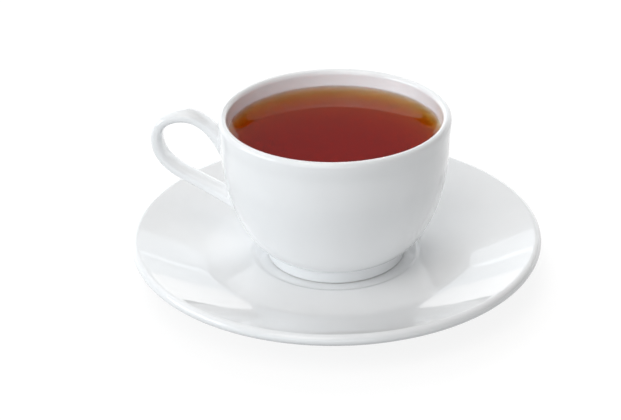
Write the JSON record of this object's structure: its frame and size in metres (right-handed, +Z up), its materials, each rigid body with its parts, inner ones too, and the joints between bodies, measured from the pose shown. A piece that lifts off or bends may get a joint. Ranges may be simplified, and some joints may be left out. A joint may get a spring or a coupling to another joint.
{
  "type": "cup of tea",
  "caption": "Cup of black tea: a round glazed cup with an ear-shaped handle, filled to just below its lip, standing in the well of a shallow saucer.",
  "frame": {"origin": "on the axis of cup and saucer, in the plane that the saucer's foot ring stands on", "axes": "+Z up along the axis of cup and saucer, -X towards the cup's handle"},
  "size_m": [0.1496, 0.1496, 0.0618],
  "materials": {
    "saucer_porcelain": "white glossy glaze",
    "cup_porcelain": "white glossy glaze",
    "black_tea": "clear red-brown liquid, still surface"
  },
  "bodies": {
    "root": {"saucer": "saucer_porcelain", "cup": "cup_porcelain", "tea": "black_tea"}
  },
  "joints": []
}
